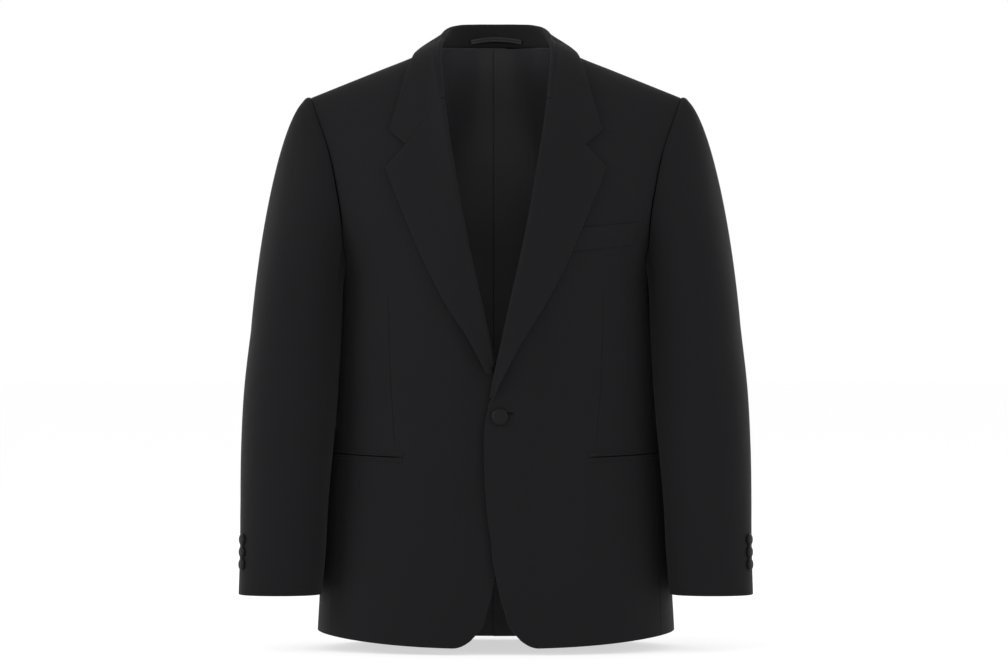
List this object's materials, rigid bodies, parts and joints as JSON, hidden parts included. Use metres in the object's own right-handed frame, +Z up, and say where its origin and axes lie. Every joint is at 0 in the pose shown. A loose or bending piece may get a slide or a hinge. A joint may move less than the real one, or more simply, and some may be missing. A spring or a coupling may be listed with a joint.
{
  "type": "dinner jacket",
  "caption": "Single-breasted black wool dinner jacket with notch lapels, worn shape with no wearer, cloth-covered buttons and jetted hip pockets.",
  "frame": {"origin": "between the shoulders, where the wearer's shoulders and neck hold the jacket, level with the ends of the shoulder seams at the neck", "axes": "+Z up, the front faces -Y, +X is the wearer's left"},
  "size_m": [0.6198, 0.2664, 0.7594],
  "materials": {
    "wool": "matt black wool",
    "lining": "smooth black lining with a slight shine",
    "button": "black cloth with a slight shine"
  },
  "bodies": {
    "root": {"front_left": "wool", "front_right": "wool", "side_left": "wool", "side_right": "wool", "back_left": "wool", "back_right": "wool", "topsleeve_left": "wool", "topsleeve_right": "wool", "undersleeve_left": "wool", "undersleeve_right": "wool", "collar": "wool", "lapel_left": "wool", "lapel_right": "wool", "breast_welt": "wool", "hip_jet_upper_left": "wool", "hip_jet_lower_left": "wool", "hip_jet_upper_right": "wool", "hip_jet_lower_right": "wool", "back_lining_left": "lining", "back_lining_right": "lining", "hanger_loop": "lining", "front_button": "button", "cuff_button_left_1": "button", "cuff_button_left_2": "button", "cuff_button_left_3": "button", "cuff_button_right_1": "button", "cuff_button_right_2": "button", "cuff_button_right_3": "button"}
  },
  "joints": []
}
